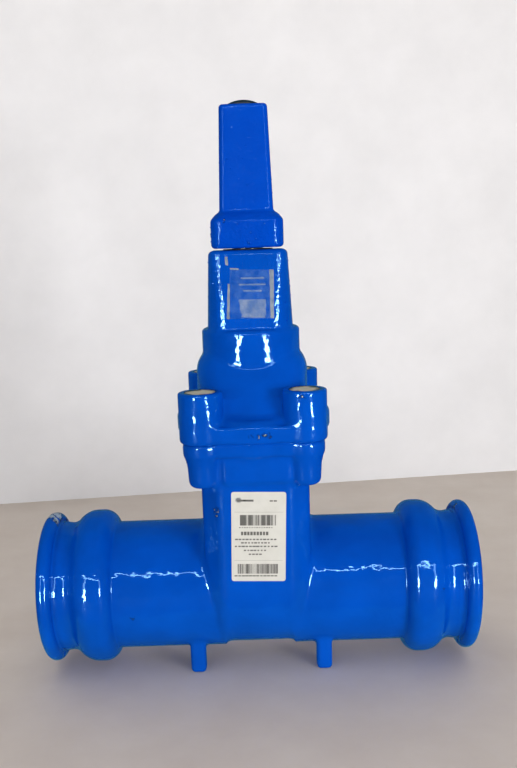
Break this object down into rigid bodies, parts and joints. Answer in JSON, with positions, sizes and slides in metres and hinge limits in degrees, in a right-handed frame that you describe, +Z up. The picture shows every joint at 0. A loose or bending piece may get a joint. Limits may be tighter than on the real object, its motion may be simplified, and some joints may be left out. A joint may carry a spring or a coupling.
{
  "type": "resilient seat gate valve",
  "caption": "Blue coated iron gate valve with push-fit pipe sockets, a domed bonnet with wax-sealed screws, a rubber-clad wedge and a turning stem with a square key cap.",
  "frame": {"origin": "on the floor under the stem axis, midway between the two sockets", "axes": "+X along the pipe towards the right socket, +Y to the back, +Z up along the stem"},
  "size_m": [0.293, 0.1214, 0.375],
  "materials": {
    "blue_epoxy": "thick glossy fusion-bonded epoxy on ductile iron",
    "black_rubber": "moulded EPDM, satin",
    "black_plastic": "moulded polyethylene",
    "stainless_steel": "turned and rolled stainless steel",
    "zinc_steel": "zinc plated steel",
    "brass": "machined brass",
    "nylon": "moulded polyamide",
    "grey_iron": "as-cast ductile iron",
    "sealing_wax": "poured beige sealing wax, dull"
  },
  "bodies": {
    "valve": {"body": "blue_epoxy", "bonnet": "blue_epoxy", "bonnet_gasket": "black_rubber", "bonnet_screw_1": "zinc_steel", "bonnet_screw_2": "zinc_steel", "bonnet_screw_3": "zinc_steel", "bonnet_screw_4": "zinc_steel", "wax_plug_1": "sealing_wax", "wax_plug_2": "sealing_wax", "wax_plug_3": "sealing_wax", "wax_plug_4": "sealing_wax", "socket_seal_left": "black_rubber", "socket_seal_right": "black_rubber", "stem_bushing": "nylon", "lip_seal": "black_rubber", "wiper_ring": "black_rubber"},
    "spindle": {"stem": "stainless_steel", "thrust_collar": "brass", "stem_cap": "blue_epoxy", "cap_screw": "zinc_steel", "cap_plug": "black_plastic"},
    "wedge": {"wedge_core": "grey_iron", "wedge_rubber": "black_rubber", "wedge_nut": "brass", "guide_shoe_front": "nylon", "guide_shoe_rear": "nylon"}
  },
  "joints": [
    {"name": "stem_turn", "type": "hinge", "parent": "valve", "child": "spindle", "pos_m": [0, 0, 0.256], "axis": [0, 0, 1], "range_deg": [0, 5400]},
    {"name": "wedge_slide", "type": "slide", "parent": "valve", "child": "wedge", "axis": [0, 0, 1], "range_m": [0, 0.075]}
  ],
  "couplings": [
    {"joint": "wedge_slide", "follows": "stem_turn", "m_per_rad": 0.00079577}
  ]
}
